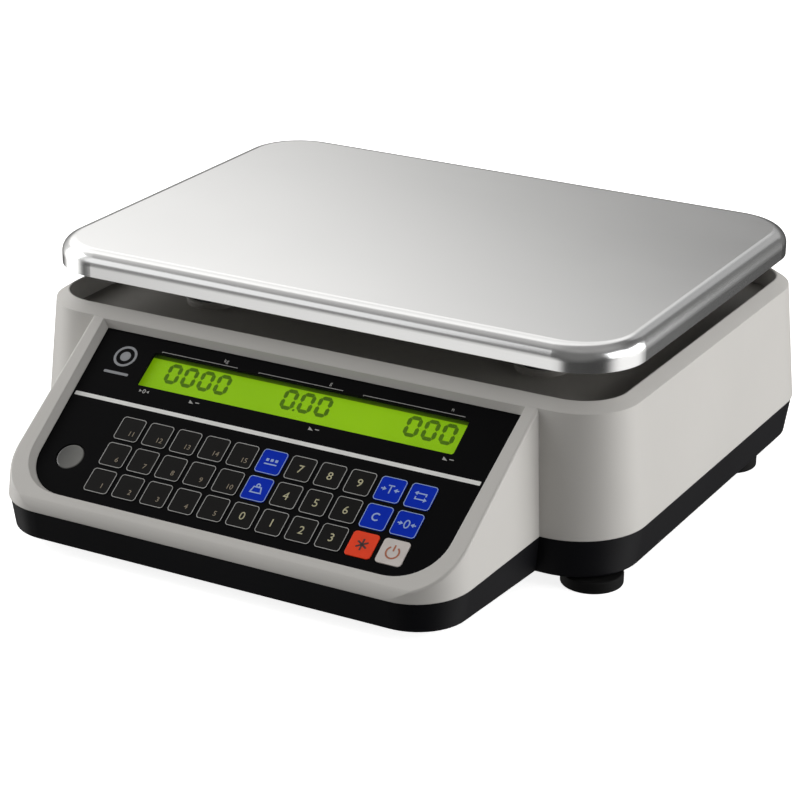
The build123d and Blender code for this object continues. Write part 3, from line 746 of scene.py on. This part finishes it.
def panel_marks():
    """Lines and units over the display, and signs under it."""
    marks = Print(INK_LINE, 0.0, INK_THICKNESS)
    line_v = OPENING_V + OPENING_HALF + BRACKET_RISE
    for left, right, unit in BRACKETS:
        bracket(marks, OPENING_U + left, OPENING_U + right, line_v, unit)
    low_v = OPENING_V - OPENING_HALF - LOW_SIGN_DROP
    low_zero(marks, OPENING_U + LOW_ZERO_U, low_v)
    for place in WEDGES_U:
        wedge(marks, OPENING_U + place, low_v)
    marks.finish("panel_marks", "case", "panel_film")


def panel_badge():
    """Generic badge at the panel's left: a ring round a dot, over a bar."""
    u, v = BADGE_FROM_SIDE - PANEL_HALF, OPENING_V + BADGE_RISE
    outer, inner, dot = (
        ellipse((u, v), radius, radius, BADGE_STEPS) for radius in (RING_OUTER, RING_INNER, DOT_RADIUS)
    )
    badge = Print(INK_SILVER, 0.0, INK_THICKNESS)
    badge.ring(outer, inner)
    badge.plate(dot)
    badge.plate(rounded_rectangle((u, v - BAR_DROP), BAR_LENGTH, BAR_WIDTH, 0.5, 3))
    badge.finish("panel_badge", "case", "panel_film")


divider_strip()
display_digits()
display_shade()
panel_marks()
panel_badge()


# ------------------------------------------------------------------ floor, light and camera
FLOOR_GLOW = 0.85
FLOOR_HALF = 6.0
# The sheet is flat up to here, then bends up on this radius to this height.
BEND_START = 2.0
BEND_RADIUS = 1.5
SHEET_TOP = 4.0

STUDIO_GROUND = 0.06
# Direction, inner and outer angle in degrees, and strength at the middle.
STUDIO_PATCHES = (
    ((0.3, 0.9, 0.3), 10, 35, 0.12),
    ((-0.56, 0.77, 0.31), 10, 35, 0.05),
    ((-0.52, 0.50, 0.69), 26, 35, 0.88),
    ((-0.60, 0.67, 0.44), 4, 18, 0.42),
    ((-1, 0, 0.25), 20, 50, 0.55),
    ((-0.8, -0.2, 0.55), 15, 50, 0.25),
    ((-0.97, -0.15, -0.2), 8, 30, 1.5),
    ((-0.37, -0.86, -0.37), 3, 22, 0.98),
    ((-0.52, -0.84, 0.15), 4, 15, 0.25),
    ((0.85, 0.1, 0.5), 15, 45, 0.135),
    ((0.9, 0.35, -0.25), 15, 45, 1.14),
    ((0, 0, 1), 20, 50, 0.28),
    ((0.3, -0.85, 0.45), 15, 50, 0.12),
)
SOFT_BOX_AIM = (0, 0, 0.05)
# Name, place and side in metres, and power in watts.
SOFT_BOXES = (
    ("right_box", (1.6, -0.1, 0.6), 0.9, 7.0),
    ("back_right_box", (1.5, 0.9, 0.4), 0.9, 12.0),
    ("left_box", (-1.6, -0.3, 0.7), 0.9, 9.9),
    ("front_left_box", (-1.0, -1.4, 0.9), 0.9, 2.2),
    ("back_box", (0.1, 1.6, 1.0), 1.0, 1.0),
)


def floor():
    """Pale sheet under the object, curving up far behind it."""
    bend = [radians(angle) for angle in range(10, 91, 10)]
    profile = [(-FLOOR_HALF, 0.0), (BEND_START, 0.0)]
    profile += [(BEND_START + BEND_RADIUS * sin(a), BEND_RADIUS - BEND_RADIUS * cos(a)) for a in bend]
    profile.append((BEND_START + BEND_RADIUS, SHEET_TOP))
    mesh = bmesh.new()
    rows = [[mesh.verts.new((x, y, z)) for x in (-FLOOR_HALF, FLOOR_HALF)] for y, z in profile]
    for near, far in zip(rows, rows[1:]):
        mesh.faces.new((near[0], near[1], far[1], far[0]))
    data = bpy.data.meshes.new("floor")
    mesh.to_mesh(data)
    mesh.free()
    finish = Finish("floor_paper", (0.9, 0.9, 0.9), 0.8)
    place = finish.place()
    finish.color_from(finish.ramp(finish.noise(place, 3.0), (0.89, 0.89, 0.89), (0.91, 0.91, 0.91)))
    finish.bump(finish.noise(place, 400.0), 0.1, 0.0001)
    finish.set("Emission Color", (1, 1, 1, 1))
    finish.set("Emission Strength", FLOOR_GLOW)
    data.materials.append(finish.material)
    sheet = bpy.data.objects.new("floor", data)
    sheet.visible_diffuse = False
    sheet.visible_glossy = False
    for polygon in data.polygons:
        polygon.use_smooth = True
    bpy.context.scene.collection.objects.link(sheet)


def soft_light(name, place, side, power):
    """Square soft box at a place, aimed at the object."""
    lamp = bpy.data.lights.new(name, "AREA")
    lamp.shape = "SQUARE"
    lamp.size = side
    lamp.energy = power
    box = bpy.data.objects.new(name, lamp)
    box.visible_camera = False
    box.location = place
    box.rotation_euler = (Vector(SOFT_BOX_AIM) - Vector(place)).to_track_quat("-Z", "Y").to_euler()
    bpy.context.scene.collection.objects.link(box)


def surroundings():
    """Studio round the object: soft pale patches on a dim ground."""
    world = bpy.data.worlds.new("studio")
    world.use_nodes = True
    bpy.context.scene.world = world
    tree = world.node_tree
    toward = tree.nodes.new("ShaderNodeTexCoord").outputs["Generated"]
    total = None
    for direction, inner, outer, strength in STUDIO_PATCHES:
        along = tree.nodes.new("ShaderNodeVectorMath")
        along.operation = "DOT_PRODUCT"
        along.inputs[1].default_value = Vector(direction).normalized()
        tree.links.new(toward, along.inputs[0])
        patch = tree.nodes.new("ShaderNodeMapRange")
        patch.interpolation_type = "SMOOTHSTEP"
        patch.inputs["From Min"].default_value = cos(radians(outer))
        patch.inputs["From Max"].default_value = cos(radians(inner))
        patch.inputs["To Max"].default_value = strength
        tree.links.new(along.outputs["Value"], patch.inputs["Value"])
        add = tree.nodes.new("ShaderNodeMath")
        tree.links.new(patch.outputs["Result"], add.inputs[0])
        if total is None:
            add.inputs[1].default_value = STUDIO_GROUND
        else:
            tree.links.new(total, add.inputs[1])
        total = add.outputs[0]
    tree.links.new(total, tree.nodes["Background"].inputs["Strength"])
    tree.nodes["Background"].inputs["Color"].default_value = (1.0, 0.99, 0.97, 1)


AZIMUTH = radians(28.66)
ELEVATION = radians(21.64)
ROLL = radians(0.69)
TARGET = Vector((0.00945, -0.0005, 0.0458))
DISTANCE = 1.448
LENS = 121.16


def camera():
    """Camera at the photograph's viewing angle."""
    back = Vector((sin(AZIMUTH) * cos(ELEVATION), -cos(AZIMUTH) * cos(ELEVATION), sin(ELEVATION)))
    right = Vector((cos(AZIMUTH), sin(AZIMUTH), 0))
    up = back.cross(right)
    x_axis = right * cos(ROLL) + up * sin(ROLL)
    y_axis = up * cos(ROLL) - right * sin(ROLL)
    lens = bpy.data.cameras.new("camera")
    lens.lens = LENS
    lens.sensor_width = 36.0
    lens.clip_start = 0.05
    eye = bpy.data.objects.new("camera", lens)
    turn = Matrix((x_axis, y_axis, back)).transposed().to_4x4()
    eye.matrix_world = Matrix.Translation(TARGET + back * DISTANCE) @ turn
    bpy.context.scene.collection.objects.link(eye)
    bpy.context.scene.camera = eye


floor()
for name, place, side, power in SOFT_BOXES:
    soft_light(name, place, side, power)
surroundings()
camera()
bpy.context.scene.view_settings.view_transform = "Standard"
